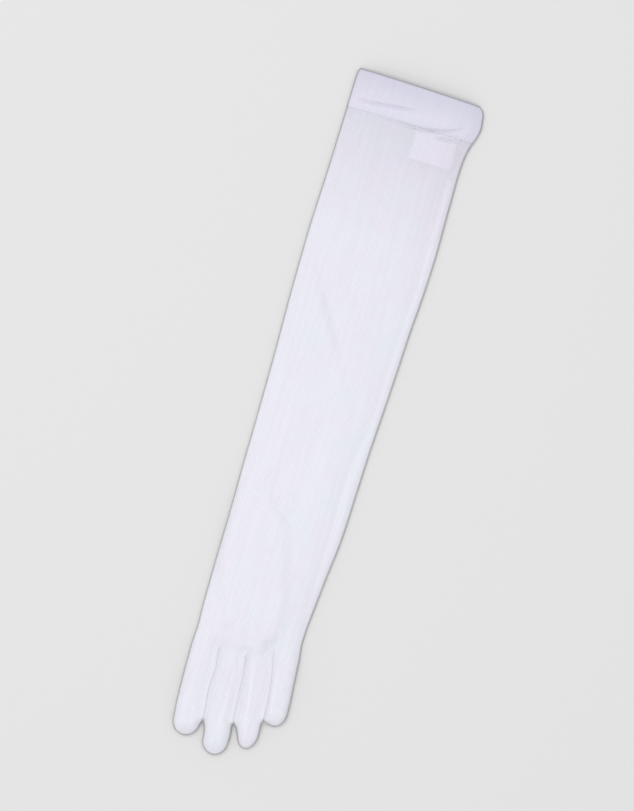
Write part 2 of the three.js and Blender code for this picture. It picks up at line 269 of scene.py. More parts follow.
def sleeve_side(side, top):
    """One edge of the sleeve and hand, from its top down to the fingers."""
    y = np.linspace(top, HAND_END, SIDE_POINTS)
    x = along([row[:3] for row in SLEEVE], y)[side]
    name = "index" if side == 0 else "little"
    outer = along(FINGERS[name][1], np.clip(y, *OUTER_FINGER_REACH))[side]
    mix = smoothstep(-y, *HAND_MEETS_FINGERS)
    return np.stack([x * (1 - mix) + outer * mix, y], -1)


def outline(top):
    """The plan's edge, from the top left round the fingers to the top right."""
    run = [sleeve_side(0, top)[:-1]]
    for name in FINGERS:
        down = finger_side(name, 0)
        up = finger_side(name, 1)[::-1]
        if name == "little":
            up = up[:-1]
        run += [down, up[1:]]
    run.append(sleeve_side(1, top)[::-1])
    return np.concatenate(run)


def distance_to(points, line):
    """How far each point lies from a polyline."""
    a, b = line[:-1], line[1:]
    run = b - a
    long = np.maximum((run ** 2).sum(-1), 1e-12)
    found = np.empty(len(points))
    for start in range(0, len(points), POINTS_AT_ONCE):
        p = points[start:start + POINTS_AT_ONCE, None, :]
        share = np.clip(((p - a) * run).sum(-1) / long, 0, 1)
        away = p - (a + share[..., None] * run)
        found[start:start + POINTS_AT_ONCE] = np.sqrt((away ** 2).sum(-1).min(1))
    return found


# The heights of the two layers

# The back's cross-section: how full it is, and how gently it rises from the fold (1 the gentlest)
CROWN, FINGER_CROWN = 3.2, 2.8
FLANK, FINGER_FLANK = 0.8, 0.78
FOLD_HEIGHT = 1.5  # the folded edge's height above the floor
FOLD_ROUND = 1.6  # how far in from the fold the palm side reaches the floor
PRESSED = 0.97  # how high two fingers touch, as a share of their height
PRESSED_REACH = (1.0, 6.0)  # they touch fully nearer than the first, and not past the second
LAID_FLAT = 0.84  # the cloth's height as a share of the solids' height
RIM_FLAT = 0.22  # the rim lies lower again by this share
FINGERS_START = (172, 204)  # the hand's height runs over into the fingers' between these, as -y
LITTLE_WEB_START = (8, 22)  # x between which that happens higher up, for the little finger's web
FINGER_HALF, LITTLE_HALF = 10.4, 8.2  # half the width of a finger, and of the little one
LITTLE_FROM = 20  # x past which a finger is the little one
TIP_FLAT = 0.72  # a fingertip's height as a share of the finger's
# Below y 240 the sleeve's flanks are steeper by this share, which comes in over 30 mm
STEEPER, STEEPER_BELOW, STEEPER_OVER = 0.08, 240, 30
# The cloth's unevenness: height, length across and along the glove, and a seed
SLACK = ((0.6, 26, 90, 3.0), (0.03, 7, 40, 7.0))
PALM_RISE = 0.25  # half the height of the palm's soft waves
PALM_WAVES = (8, 30, 11.0)  # length across and along, and a seed
PALM_WAVES_GROW = (4, 12)  # depths inside the outline between which they grow to full height
LIFT_GROWS = (-1, 5)  # the same for the lift over the thumb
BACK_LIFT = 0.85  # the share of that lift that shows on the back
FOLDS_END = 6  # how abruptly folds end at the outline
FOLD_STEP, LINE_STEP = 1.5, 2.0  # spacing of the points along folds, and along touching fingers
# The lines along which fingers touch, as x and y from web to parting
FINGER_LINES = [
    [(-27.5, -199), (-25.6, -214), (-26.0, -231), (-23.8, -252)],
    [(-6.0, -199), (-3.0, -213), (-1.4, -231), (0.2, -248)],
    [(16.0, -189), (18.6, -203), (21.6, -219), (22.3, -240)],
]


def thumb_edges(y):
    """Left and right edge of the thumb at the places y, with its rounded ends."""
    left, right = along(THUMB, y)
    tip = y < (THUMB_TIP[1] + THUMB_ROOT[1]) / 2
    end_x, end_y, rounding = (np.where(tip, a, b) for a, b in zip(THUMB_TIP, THUMB_ROOT))
    share = np.sqrt(1 - (1 - np.clip(np.abs(y - end_y) / rounding, 0, 1)) ** 2)
    return end_x + (left - end_x) * share, end_x + (right - end_x) * share


def palm_lift(x, y):
    """How far the thumb underneath lifts the palm."""
    near = np.clip(y, THUMB_TIP[1] + 1, THUMB_ROOT[1] - 1)
    left, right = thumb_edges(near)
    beside = np.maximum(np.maximum(left - x, x - right), 0)
    return THUMB_LIFT * (1 - smoothstep(np.hypot(beside, y - near), REST_SHOULDER, REST_FALL))


def fold_rise(x, y, folds):
    """The sum of the folds: each is a curve with soft sides."""
    rise = np.zeros_like(x)
    for width, points in folds:
        curve = evenly(points, FOLD_STEP)
        nearest = np.full(len(x), 1e9)
        height = np.zeros_like(x)
        for (x1, y1, low), (x2, y2, high) in zip(curve[:-1], curve[1:]):
            run = np.array([x2 - x1, y2 - y1])
            share = np.clip(((x - x1) * run[0] + (y - y1) * run[1]) / (run @ run), 0, 1)
            away = np.hypot(x - x1 - share * run[0], y - y1 - share * run[1])
            closer = away < nearest
            nearest = np.where(closer, away, nearest)
            height = np.where(closer, low + (high - low) * share, height)
        rise += height * np.exp(-((nearest / width) ** 2))
    return rise


def gathers():
    """Short puckers that run from each web into the hand."""
    rows = []
    for web in WEBS:
        for turn, long, height in PUCKERS:
            run = np.array([math.sin(math.radians(turn)), math.cos(math.radians(turn))])
            start = web + PUCKER_START * run
            end = web + long * run
            rows.append((PUCKER_WIDTH, [(*start, height), (*end, 0)]))
    return rows


def wave(x, y, across, lengthwise, seed):
    """Smooth unevenness, long in y, from -1 to 1."""
    return np.array([
        noise.noise(Vector((a / across, b / lengthwise, seed))) for a, b in zip(x, y)
    ])


def slackness(x, y):
    """The cloth's soft unevenness, longer along the glove than across it."""
    return sum(height * wave(x, y, *sizes) for height, *sizes in SLACK)


def pressed(x, y):
    """1 where two fingers press against each other, 0 away from there."""
    plan = np.stack([x, y], -1)
    beside = np.min([distance_to(plan, evenly(line, LINE_STEP)) for line in FINGER_LINES], axis=0)
    return 1 - smoothstep(beside, *PRESSED_REACH)


def layer_heights(x, y, depth):
    """Back and palm height at places of the plan that lie depth inside the outline."""
    left, right, height = along(SLEEVE, np.clip(y, HAND_END, TOP))
    height = height * LAID_FLAT
    web = LITTLE_WEB * smoothstep(x, *LITTLE_WEB_START)
    finger = smoothstep(-(y - web), *FINGERS_START)
    tips = np.array([tip for tip, _ in FINGERS.values()])
    _, tip_y, _, rounding = tips[np.abs(x[:, None] - tips[:, 0]).argmin(1)].T
    tip = TIP_FLAT + (1 - TIP_FLAT) * smoothstep((y - tip_y) / rounding, 0, 1)
    height = height * (1 - finger) + LAID_FLAT * FINGER_HEIGHT * finger * tip
    finger_half = np.where(x > LITTLE_FROM, LITTLE_HALF, FINGER_HALF)
    half = (right - left) / 2 * (1 - finger) + finger_half * finger
    half *= 1 - STEEPER * smoothstep(STEEPER_BELOW - y, 0, STEEPER_OVER) * (1 - finger)
    crown = CROWN * (1 - finger) + FINGER_CROWN * finger
    share = np.clip(1 - depth / half, 0, 1)
    edge = FOLD_HEIGHT + (height * PRESSED - FOLD_HEIGHT) * pressed(x, y)
    flank = FLANK * (1 - finger) + FINGER_FLANK * finger
    back = edge + (height - edge) * (1 - share ** crown) ** flank
    under = np.clip(1 - depth / FOLD_ROUND, 0, 1)
    palm = edge * (1 - np.sqrt(1 - under ** 2))
    lift = palm_lift(x, y) * smoothstep(depth, *LIFT_GROWS)
    away = 1 - share ** FOLDS_END
    rise = fold_rise(x, y, FOLDS) + fold_rise(x, y, gathers()) + slackness(x, y)
    palm_rise = PALM_RISE * (1 + wave(x, y, *PALM_WAVES)) * smoothstep(depth, *PALM_WAVES_GROW)
    return back + BACK_LIFT * lift + rise * away, palm + lift + palm_rise


# Making pieces


def new_piece(name, points, faces, material):
    """A smooth mesh piece from points in millimetres."""
    mesh = bpy.data.meshes.new(name)
    mesh.from_pydata((np.asarray(points) * MM).tolist(), [], [list(map(int, f)) for f in faces])
    mesh.validate()
    mesh.shade_smooth()
    piece = bpy.data.objects.new(name, mesh)
    bpy.context.scene.collection.objects.link(piece)
    mesh.materials.append(material)
    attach(piece, "root")
    return piece


def turn_outwards(piece):
    """Merges points that coincide and turns the faces outwards."""
    work = bmesh.new()
    work.from_mesh(piece.data)
    bmesh.ops.remove_doubles(work, verts=work.verts, dist=1e-7)
    bmesh.ops.recalc_face_normals(work, faces=work.faces)
    work.to_mesh(piece.data)
    work.free()


def mark(piece, name, values):
    """Keeps a value at each point of a piece, for its material."""
    layer = piece.data.attributes.new(name, "FLOAT", "POINT")
    layer.data.foreach_set("value", np.asarray(values, np.float32))


def give_thickness(piece, thickness):
    wall = piece.modifiers.new("cloth", "SOLIDIFY")
    wall.thickness = thickness * MM
    wall.offset = -1
    wall.use_rim = True


def ring_faces(rings, count, closed):
    """Quads between rings of points; closed joins the last ring to the first."""
    faces = []
    for r in range(rings if closed else rings - 1):
        for i in range(count):
            a, b = r * count + i, r * count + (i + 1) % count
            c, d = ((r + 1) % rings) * count + (i + 1) % count, ((r + 1) % rings) * count + i
            faces.append((a, b, c, d))
    return faces


# Materials


def linear(code):
    """An sRGB hex colour as linear values."""
    parts = [int(code[i:i + 2], 16) / 255 for i in (1, 3, 5)]
    return [p / 12.92 if p <= 0.04045 else ((p + 0.055) / 1.055) ** 2.4 for p in parts] + [1.0]


def add_node(tree, kind, settings=None, links=None):
    """Adds a node. settings are properties or, by name or number, inputs; links join inputs."""
    node = tree.nodes.new(kind)
    for key, value in (settings or {}).items():
        if isinstance(key, str) and hasattr(node, key) and key not in node.inputs:
            setattr(node, key, value)
        else:
            node.inputs[key].default_value = value
    for key, source in (links or {}).items():
        tree.links.new(source, node.inputs[key])
    return node


def new_material(name):
    material = bpy.data.materials.new(name)
    material.use_nodes = True
    tree = material.node_tree
    tree.nodes.clear()
    return material, tree


def finish_material(tree, settings, links):
    """The shader and the output. What is the same all over is set on the shader's own sockets."""
    shader = add_node(tree, "ShaderNodeBsdfPrincipled", settings, links)
    add_node(tree, "ShaderNodeOutputMaterial", links={"Surface": shader.outputs[0]})


# Tulle is a very fine net. Its real holes are 0.5 mm wide; they are drawn 1.9 mm wide here, so
# that they show at the photograph's 0.8 mm a pixel.
NET_HOLE = 1.9
NET_THREAD = 0.4

# Painted shade along the glove, whiter on the hand and greyer towards the hem and rim, where less
# light falls: y in metres, then how far towards the lighter tone
LIGHT_FALLOFF = [(0.28, 0.0), (0.235, 0.25), (0.2, 0.55), (0.15, 0.88), (0.03, 0.95), (-0.06, 1.0)]
HEM_LIGHT_FALLOFF = [(0.28, 0.0), (0.268, 0.5), (0.256, 0.95), (0.247, 1.0)]


def net_pattern(tree, coords):
    """The net's threads: 1 on a thread, 0 in the middle of a hole. Its sizes are in millimetres."""
    scaled = add_node(tree, "ShaderNodeMapping", {"Scale": (1000, 1000, 1000)}, {"Vector": coords})
    net = add_node(tree, "ShaderNodeTexBrick", {
        "offset": 0.5,
        "Color1": (0, 0, 0, 1),
        "Color2": (0, 0, 0, 1),
        "Mortar": (1, 1, 1, 1),
        "Scale": 1.0,
        "Mortar Size": NET_THREAD,
        "Mortar Smooth": 1.0,
        "Brick Width": NET_HOLE,
        "Row Height": NET_HOLE * ROW_SPACING,
    }, {"Vector": scaled.outputs[0]})
    return net.outputs["Fac"]


def painted_falloff_along(tree, coords, light, dark, falloff):
    """Painted light and shade along the glove: the colour is whiter on the hand and greyer towards the
    hem, as the light falls off there.
    """
    place = add_node(tree, "ShaderNodeSeparateXYZ", links={0: coords}).outputs["Y"]
    low, high = falloff[-1][0], falloff[0][0]
    share = add_node(tree, "ShaderNodeMapRange", {"From Min": low, "From Max": high}, {"Value": place})
    ramp = add_node(tree, "ShaderNodeValToRGB", links={0: share.outputs[0]})
    stops = ramp.color_ramp.elements
    while len(stops) < len(falloff):
        stops.new(0.5)
    for stop, (y, amount) in zip(stops, reversed(falloff)):
        stop.position = (y - low) / (high - low)
        mixed = [a * amount + b * (1 - amount) for a, b in zip(linear(light), linear(dark))]
        stop.color = mixed
    return ramp.outputs["Color"]


def with_painted_edge_shade(tree, colour):
    """Painted shade along a folded edge: the cloth's colour is multiplied by grey in a line where it
    turns down.
    """
    painted_edge_shade = add_node(tree, "ShaderNodeAttribute", {"attribute_name": "painted_edge_shade"})
    # Painted shade: this grey darkens the cloth where the painted edge shade value is 1
    line = add_node(tree, "ShaderNodeMix", {
        "data_type": "RGBA", 6: (1, 1, 1, 1), 7: linear("#c4c3be"),
    }, {0: painted_edge_shade.outputs["Fac"]})
    greyed = add_node(tree, "ShaderNodeMix", {"data_type": "RGBA", "blend_type": "MULTIPLY", 0: 1.0},
                      {6: colour, 7: line.outputs[2]})
    return greyed.outputs[2]


def mottled(tree, coords, colour):
    """Soft patches, 20 mm wide, that lean to lilac or to blue, as slack white polyamide does."""
    noise_of = add_node(tree, "ShaderNodeTexNoise", {"Scale": 42.0, "Detail": 2.0}, {"Vector": coords})
    share = add_node(tree, "ShaderNodeMapRange", {"From Min": 0.38, "From Max": 0.62},
                     {"Value": noise_of.outputs["Fac"]})
    tint = add_node(tree, "ShaderNodeMix", {
        "data_type": "RGBA", 6: (1.0, 0.98, 0.995, 1), 7: (0.98, 0.995, 1.0, 1),
    }, {0: share.outputs[0]})
    tinted = add_node(tree, "ShaderNodeMix", {"data_type": "RGBA", "blend_type": "MULTIPLY", 0: 1.0},
                      {6: colour, 7: tint.outputs[2]})
    return tinted.outputs[2]


def tulle(name, light, dark, hole, thread, falloff=LIGHT_FALLOFF):
    """Stretch tulle, warp-knitted polyamide: a matt, slightly bluish white net that lets some
    light through. hole and thread are how far it covers in its holes and on its threads."""
    material, tree = new_material(name)
    coords = add_node(tree, "ShaderNodeTexCoord").outputs["Object"]
    net = net_pattern(tree, coords)
    # Lengthwise streaks of the knitting, about 3 mm wide and 60 mm long
    stretched = add_node(tree, "ShaderNodeMapping", {"Scale": (330, 16, 30)}, {"Vector": coords})
    streak = add_node(tree, "ShaderNodeTexNoise", {"Scale": 1.0, "Detail": 2.0},
                      {"Vector": stretched.outputs[0]}).outputs["Fac"]
    cover = add_node(tree, "ShaderNodeMapRange", {"To Min": hole, "To Max": thread}, {"Value": net})
    uneven = add_node(tree, "ShaderNodeMapRange", {
        "From Min": 0.3, "From Max": 0.7, "To Min": -0.015, "To Max": 0.015,
    }, {"Value": streak})
    alpha = add_node(tree, "ShaderNodeMath", {"operation": "ADD", "use_clamp": True},
                     {0: cover.outputs[0], 1: uneven.outputs[0]})
    relief = add_node(tree, "ShaderNodeBump", {"Strength": 0.06, "Distance": 0.0002}, {"Height": net})
    # Painted shade along the glove, under the random lilac and blue patches
    mottled_and_shaded = mottled(tree, coords, painted_falloff_along(tree, coords, light, dark, falloff))
    finish_material(tree, {
        "Roughness": 0.82,
        "IOR": 1.53,
        "Specular IOR Level": 0.25,
        "Sheen Weight": 0.25,
        "Sheen Roughness": 0.6,
    }, {
        "Base Color": with_painted_edge_shade(tree, mottled_and_shaded),
        "Alpha": alpha.outputs[0],
        "Normal": relief.outputs[0],
    })
    return material


def woven_tape():
    """Polyester satin tape of a sewn-in label: fine ribs across it, smooth and a little glossy."""
    material, tree = new_material("polyester_satin_tape")
    coords = add_node(tree, "ShaderNodeTexCoord").outputs["Object"]
    # Weft ribs are 0.3 mm apart; drawn at 0.9 mm so that they show
    ribs = add_node(tree, "ShaderNodeTexWave", {
        "bands_direction": "Y", "Scale": 350.0, "Distortion": 0.4, "Detail": 2.0,
    }, {"Vector": coords}).outputs["Fac"]
    woven = add_node(tree, "ShaderNodeMix", {
        "data_type": "RGBA", 6: linear("#e6e4ee"), 7: linear("#f5f4fa"),
    }, {0: ribs})
    # Painted shade along its heat-cut edges: the tape is darkened grey there
    cut_edge_shade = add_node(tree, "ShaderNodeAttribute", {"attribute_name": "painted_edge_shade"})
    tone = add_node(tree, "ShaderNodeMix", {"data_type": "RGBA", 7: linear("#84848e")},
                    {0: cut_edge_shade.outputs["Fac"], 6: woven.outputs[2]})
    relief = add_node(tree, "ShaderNodeBump", {"Strength": 0.4, "Distance": 0.0001}, {"Height": ribs})
    finish_material(tree, {"Roughness": 0.42, "IOR": 1.54, "Sheen Weight": 0.1},
                    {"Base Color": tone.outputs[2], "Normal": relief.outputs[0]})
    return material


def sewing_thread():
    """Spun polyester thread: white, soft and a little fuzzy."""
    material, tree = new_material("spun_polyester_thread")
    coords = add_node(tree, "ShaderNodeTexCoord").outputs["Object"]
    fuzz = add_node(tree, "ShaderNodeTexNoise", {"Scale": 2500.0, "Detail": 2.0}, {"Vector": coords})
    tone = add_node(tree, "ShaderNodeMix", {
        "data_type": "RGBA", 6: linear("#d6d6e0"), 7: linear("#e4e4ec"),
    }, {0: fuzz.outputs["Fac"]})
    relief = add_node(tree, "ShaderNodeBump", {"Strength": 0.5, "Distance": 0.0001},
                      {"Height": fuzz.outputs["Fac"]})
    finish_material(tree, {"Roughness": 0.6, "IOR": 1.54, "Sheen Weight": 0.3},
                    {"Base Color": tone.outputs[2], "Normal": relief.outputs[0]})
    return material


def matt_paper():
    """Seamless background paper: plain, matt, pale grey."""
    material, tree = new_material("matt_background_paper")
    coords = add_node(tree, "ShaderNodeTexCoord").outputs["Object"]
    grain = add_node(tree, "ShaderNodeTexNoise", {"Scale": 900.0, "Detail": 2.0}, {"Vector": coords})
    tone = add_node(tree, "ShaderNodeMix", {
        "data_type": "RGBA", 6: linear("#d2d2d2"), 7: linear("#d4d4d4"),
    }, {0: grain.outputs["Fac"]})
    finish_material(tree, {"Roughness": 0.95, "Specular IOR Level": 0.1},
                    {"Base Color": tone.outputs[2]})
    return material


# The stage, in metres: the camera looks straight down, with the fingers towards the lower left

VIEW_TURN = 16.6
VIEW_HEIGHT = 0.6488  # what the photograph's height covers
VIEW_DISTANCE = 3.2
VIEW_MIDDLE = (-0.0079, 0.0113)
SENSOR = 36
SKY = 0.82  # strength of the even white light from all round
FLOOR_HALF = 4.0
FLOOR_LOW = -0.0003

# Soft lights: name, place, size, power
LIGHTS = (
    ("soft_left", (-1.5, 1.3, 2.7), 0.8, 20),
    ("soft_above", (-0.2, -0.4, 3.0), 1.6, 24),
)


def make_camera():
    data = bpy.data.cameras.new("camera")
    data.sensor_width = SENSOR
    data.lens = SENSOR * VIEW_DISTANCE / VIEW_HEIGHT
    camera = bpy.data.objects.new("camera", data)
    camera.location = (*VIEW_MIDDLE, VIEW_DISTANCE)
    camera.rotation_euler = (0, 0, math.radians(VIEW_TURN))
    bpy.context.scene.collection.objects.link(camera)
    bpy.context.scene.camera = camera


def make_light(name, place, size, power):
    """A round soft light that points at the glove's middle."""
    data = bpy.data.lights.new(name, "AREA")
    data.shape = "DISK"
    data.size = size
    data.energy = power
    light = bpy.data.objects.new(name, data)
    light.location = place
    light.rotation_euler = (-Vector(place)).to_track_quat("-Z", "Y").to_euler()
    bpy.context.scene.collection.objects.link(light)


def make_stage():
    world = bpy.data.worlds.new("studio")
    bpy.context.scene.world = world
    world.use_nodes = True
    sky = world.node_tree.nodes["Background"].inputs
    sky["Color"].default_value = (1.0, 1.0, 1.0, 1)
    sky["Strength"].default_value = SKY
    for light in LIGHTS:
        make_light(*light)
    bpy.context.scene.view_settings.view_transform = "Standard"
    mesh = bpy.data.meshes.new("floor")
    signs = ((-1, -1), (1, -1), (1, 1), (-1, 1))
    corners = [(a * FLOOR_HALF, b * FLOOR_HALF, FLOOR_LOW) for a, b in signs]
    mesh.from_pydata(corners, [], [(0, 1, 2, 3)])
    mesh.materials.append(matt_paper())
    floor = bpy.data.objects.new("floor", mesh)
    bpy.context.scene.collection.objects.link(floor)


# The glove

CLOTH = 0.35  # thickness of one layer
EDGE_SHADE_REACH = (0.5, 1.6)  # the painted shade along the folded edge fades out between these depths
BODY_TOP = 250.0  # the body's upper edge, sewn in under the hem
OUTLINE_STEP = 1.6  # spacing of the points round the outline
GRID = 1.9  # spacing of the points inside it
FINE_GRID = 1.0
FINE_ABOVE = 212.0  # y above which the grid is fine, for the label and the hem's creases
GRID_REACH = 58  # x that the grid reaches at both sides
EDGE_RINGS = (0.12, 0.4, 0.9, 1.6, 2.6, 3.8)  # how far inside the outline rings of points lie
TUCK = 0.3  # how far both layers tuck in under the hem


def staggered(low, high, step):
    """An even grid of points, each row half a step aside of the last."""
    places = np.arange(-GRID_REACH, GRID_REACH, step)
    rows = [np.stack([places + step / 2 * (i % 2), np.full(len(places), y)], -1)
            for i, y in enumerate(np.arange(low, high, step * ROW_SPACING))]
    return np.concatenate(rows)


def plan_points(edge):
    """Points of the plan: rings close inside the edge, then a grid, finer near the hem."""
    samples = evenly(edge, OUTLINE_STEP)
    run = np.gradient(samples, axis=0)
    inward = np.stack([-run[:, 1], run[:, 0]], -1)
    inward /= np.linalg.norm(inward, axis=1)[:, None]
    found = []
    for ring in EDGE_RINGS:
        points = (samples + inward * ring)[1:-1]
        # Where the outline turns in, a ring's points come too near it and are left out
        found.append(points[distance_to(points, samples) > 0.93 * ring])
    low = samples[:, 1].min()
    grid = np.concatenate([
        staggered(low, FINE_ABOVE, GRID),
        staggered(FINE_ABOVE, BODY_TOP - 0.6 * FINE_GRID, FINE_GRID),
    ])
    grid = grid[inside(grid, samples)]
    grid = grid[distance_to(grid, samples) > EDGE_RINGS[-1] + 0.5 * GRID]
    count = int(round((samples[-1, 0] - samples[0, 0]) / FINE_GRID))
    top = np.linspace(samples[-1], samples[0], count + 1)[1:-1]
    return samples, top, np.concatenate(found + [grid])


def inside(points, loop):
    """Whether each point lies inside a closed loop."""
    found = np.zeros(len(points), bool)
    for (x1, y1), (x2, y2) in zip(loop, np.roll(loop, -1, axis=0)):
        crosses = (y1 > points[:, 1]) != (y2 > points[:, 1])
        if crosses.any():
            at = (x2 - x1) * (points[:, 1] - y1) / (y2 - y1 + 1e-15) + x1
            found ^= crosses & (points[:, 0] < at)
    return found


def glove_body(material):
    """The folded tulle: back and palm in one open bag, joined round the outline."""
    samples, top, inner = plan_points(outline(BODY_TOP))
    loop = np.concatenate([samples, top])
    given = [Vector(p) for p in np.concatenate([loop, inner])]
    # The 1 keeps only the triangles inside the loop
    verts, _, faces, *_ = delaunay_2d_cdt(given, [], [list(range(len(loop)))], 1, 1e-5)
    plan = np.array([tuple(v) for v in verts])
    faces = [f for f in faces if len(f) == 3]
    x, y = plan.T
    depth = distance_to(plan, samples)
    back, palm = layer_heights(x, y, depth)
    tuck = TUCK * smoothstep(y, HEM_EDGE - 4, HEM_EDGE - 0.5)
    back, palm = back - tuck, palm + tuck
    joined = depth < 1e-4
    count = len(plan)
    under = np.where(joined, np.arange(count), count + np.cumsum(~joined) - 1)
    points = np.concatenate([
        np.stack([x, y, back], -1),
        np.stack([x, y, palm], -1)[~joined],
    ])
    upper, lower = [], []
    for a, b, c in faces:
        if np.cross(plan[b] - plan[a], plan[c] - plan[a]) < 0:
            b, c = c, b
        upper.append((a, b, c))
        flipped = (under[a], under[c], under[b])
        if len(set(flipped) | {a, b, c}) > 3:
            lower.append(flipped)
    piece = new_piece("glove_body", points, upper + lower, material)
    # Painted shade: a grey line along the folded edge, left out where fingers press together
    painted_edge_shade = (1 - smoothstep(depth, *EDGE_SHADE_REACH)) * (1 - pressed(x, y))
    mark(piece, "painted_edge_shade", np.concatenate([painted_edge_shade, painted_edge_shade[~joined]]))
    give_thickness(piece, CLOTH)
    return piece


HEM_WALL = 1.0  # from the outer layer to the inner one
HEM_LOW = 247.4  # the band's lower edge
HEM_EVEN = (2.6, 3)  # how far above it the outside and the inside start to run even
HEM_ROLL = 0.6  # how far the rim's soft roll reaches down
HEM_RINGS = (46, 7, 24)  # rings of points up the outside, over the rim and down the inside
RING_POINTS = 190  # across each layer of the hem
EDGE_RISE = 0.3  # the folded edge of a layer further in is higher by this share of its inset
# Where the hem ends on the sleeve: height above its lower edge, and how far it is drawn in there
HEM_FOOT = ((0, 0.28), (0.5, 0.18), (1.1, 0.09), (1.8, 0.03))
HEM_INNER_FOOT = ((1.4, 0.9), (0, 0.75))


def sleeve_ring(y, inset, count):
    """Points round the sleeve at y, drawn in by inset: the back, then the palm. Also how far each
    lies from the outline."""
    left, right, height = along(SLEEVE, np.full(1, y))[:, 0]
    height *= LAID_FLAT * (1 - RIM_FLAT * smoothstep(y, RIM_START, TOP))
    middle, half = (left + right) / 2, (right - left) / 2 - inset
    edge = FOLD_HEIGHT + inset * EDGE_RISE
    share = np.cos(np.linspace(0, math.pi, count))
    back = edge + (height - inset - edge) * (1 - np.abs(share) ** CROWN) ** FLANK
    x_back = middle + half * share
    flat = 1 - FOLD_ROUND / half
    share_under = -share[1:-1]
    t = np.maximum((np.abs(share_under) - flat) / (1 - flat), 0)
    palm = inset + (edge - inset) * (1 - np.sqrt(1 - t * t))
    x_palm = middle + half * share_under
    y_back = np.full(count, y)
    lifted = fold_rise(x_back, y_back, FOLDS) + slackness(x_back, y_back)
    back = back + lifted * (1 - share ** FOLDS_END)
    x = np.concatenate([x_back, x_palm])
    z = np.concatenate([back, palm])
    across = (x - SLEEVE[-1][1]) / (SLEEVE[-1][2] - SLEEVE[-1][1])
    fall = RIM_FALL * np.clip(across, 0, 1) * smoothstep(np.full(len(x), y), RIM_START, TOP)
    aside = np.minimum(x - left, right - x) - inset
    return np.stack([x, y - fall, z], -1), np.minimum(aside, TOP - y)


def top_hem(material):
    """The turned hem: outer and inner layer, a soft roll at the rim, pressed flat at the seam."""
    up_outside, over, down_inside = HEM_RINGS
    even_outside, even_inside = HEM_EVEN
    high = TOP - HEM_ROLL
    profile = [(HEM_LOW + up, inset) for up, inset in HEM_FOOT]
    profile += [(y, 0.0) for y in np.linspace(HEM_LOW + even_outside, high, up_outside)]
    for turn in np.linspace(20, 160, over):
        roll = math.radians(turn)
        profile.append((high + HEM_ROLL * math.sin(roll), HEM_WALL / 2 * (1 - math.cos(roll))))
    profile += [(y, HEM_WALL) for y in np.linspace(high, HEM_LOW + even_inside, down_inside)]
    profile += [(HEM_LOW + up, inset) for up, inset in HEM_INNER_FOOT]
    rings, depths = zip(*[sleeve_ring(y, inset, RING_POINTS) for y, inset in profile])
    faces = ring_faces(len(rings), len(rings[0]), True)
    piece = new_piece("top_hem_band", np.concatenate(rings), faces, material)
    # Painted shade: a grey line along the hem's folded edges
    mark(piece, "painted_edge_shade", 1 - smoothstep(np.concatenate(depths), *EDGE_SHADE_REACH))
    turn_outwards(piece)
    return piece


THUMB_POINTS = (9, 52, 21)  # round each end, along the thumb and across it
THUMB_EDGE = 1.2  # height of its folded edges
THUMB_UNDERSIDE = 0.86  # the share of its width on which its underside lies flat


def pressed_thumb(material):
    """The thumb, pressed flat: upper and lower layer with low folded edges."""
    _, tip_y, tip_round = THUMB_TIP
    _, root_y, root_round = THUMB_ROOT
    round_end, lengthwise, across = THUMB_POINTS
    # The rings start just short of each end, which a point closes
    turn = np.linspace(0.12, math.pi / 2, round_end)
    places = np.concatenate([
        tip_y + tip_round * (1 - np.cos(turn)),
        np.linspace(tip_y + tip_round, root_y - root_round, lengthwise)[1:-1],
        (root_y - root_round * (1 - np.cos(turn)))[::-1],
    ])
    rings = []
    for y in places:
        left, right = (float(v) for v in thumb_edges(np.array(y)))
        middle, half = (left + right) / 2, (right - left) / 2
        share = np.cos(np.linspace(0, math.pi, across))
        full = THUMB_EDGE + (THUMB_HEIGHT - THUMB_EDGE) * np.sqrt(1 - np.abs(share) ** CROWN)
        low = -share[1:-1]
        turned_up = np.clip((np.abs(low) - THUMB_UNDERSIDE) / (1 - THUMB_UNDERSIDE), 0, 1)
        under = THUMB_EDGE * turned_up ** 2
        x = middle + half * np.concatenate([share, low])
        z = np.concatenate([full, under])
        rings.append(np.stack([x, np.full(len(x), y), z], -1))
    count = len(rings[0])
    points = np.concatenate(rings + [rings[0].mean(0)[None], rings[-1].mean(0)[None]])
    faces = ring_faces(len(rings), count, False)
    last = (len(rings) - 1) * count
    for i in range(count):
        faces.append((len(points) - 2, (i + 1) % count, i))
        faces.append((len(points) - 1, last + i, last + (i + 1) % count))
    piece = new_piece("folded_thumb", points, faces, material)
    turn_outwards(piece)
    return piece


def inner_height(x, y, depth_below, edge):
    """Height of something that lies depth_below the back's outer side."""
    points = np.stack([x, y], -1)
    return layer_heights(x, y, distance_to(points, edge))[0] - depth_below


def inner_strip(name, rows, thickness, below, edge, material):
    """A thin strip inside the back layer, given by rows of points in plan."""
    grid = np.array(rows, float)
    count = grid.shape[1]
    x, y = grid[..., 0].ravel(), grid[..., 1].ravel()
    z = inner_height(x, y, below, edge)
    upper = np.stack([x, y, z], -1).reshape(len(grid), count, 3)
    lower = upper[:, ::-1] - np.array([0, 0, thickness])
    rings = np.concatenate([upper, lower], axis=1)
    points = rings.reshape(-1, 3)
    faces = ring_faces(len(grid), 2 * count, False)
    for start in (0, (len(grid) - 1) * 2 * count):
        for i in range(count - 1):
            a, b = start + i, start + i + 1
            c, d = start + 2 * count - 2 - i, start + 2 * count - 1 - i
            faces.append((a, b, c, d))
    piece = new_piece(name, points, faces, material)
    turn_outwards(piece)
    return piece


